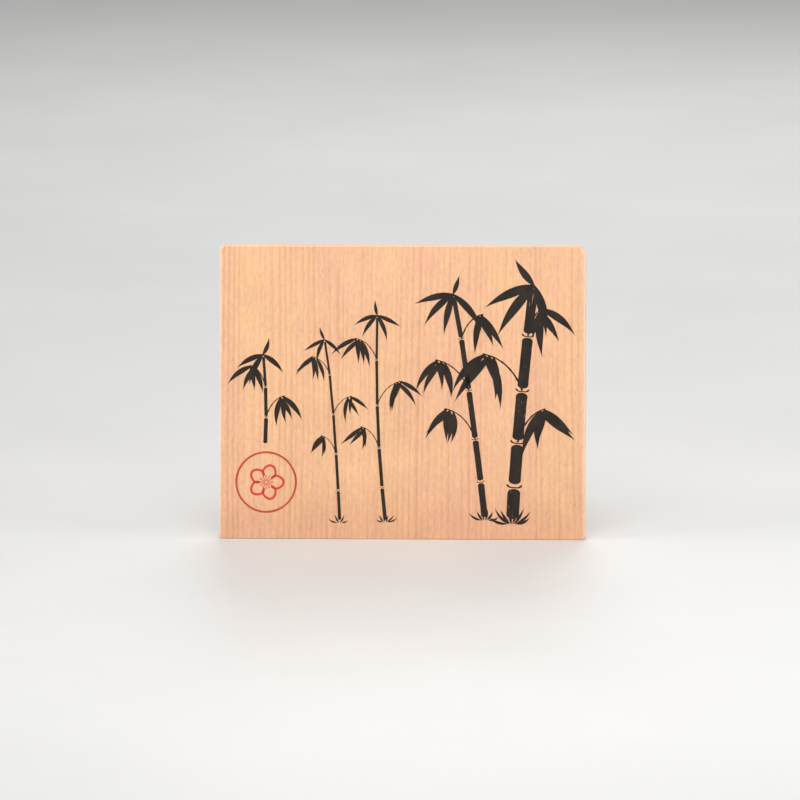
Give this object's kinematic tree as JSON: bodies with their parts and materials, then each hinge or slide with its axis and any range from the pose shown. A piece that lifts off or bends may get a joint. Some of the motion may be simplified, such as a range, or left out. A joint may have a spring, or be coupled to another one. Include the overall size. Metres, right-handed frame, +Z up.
{
  "type": "standing wooden plaque",
  "caption": "Small solid-wood plaque with rounded corners and eased edges, cut on the slant below so it stands leaning back on a plate foot glued behind it.",
  "frame": {"origin": "on the surface the plaque stands on, under the middle of its whole box", "axes": "+X to the right of the face, +Y to the back where the foot is, +Z up; the face leans back 8 degrees from +Z"},
  "size_m": [0.12, 0.0384, 0.0955],
  "materials": {
    "board_wood": "planed and finely sanded, unvarnished",
    "foot_wood": "sawn and sanded, unvarnished",
    "brush_ink": "dried carbon ink, matt",
    "seal_ink": "dried red stamp paste, matt"
  },
  "bodies": {
    "root": {"board": "board_wood", "back_foot": "foot_wood"}
  },
  "joints": []
}
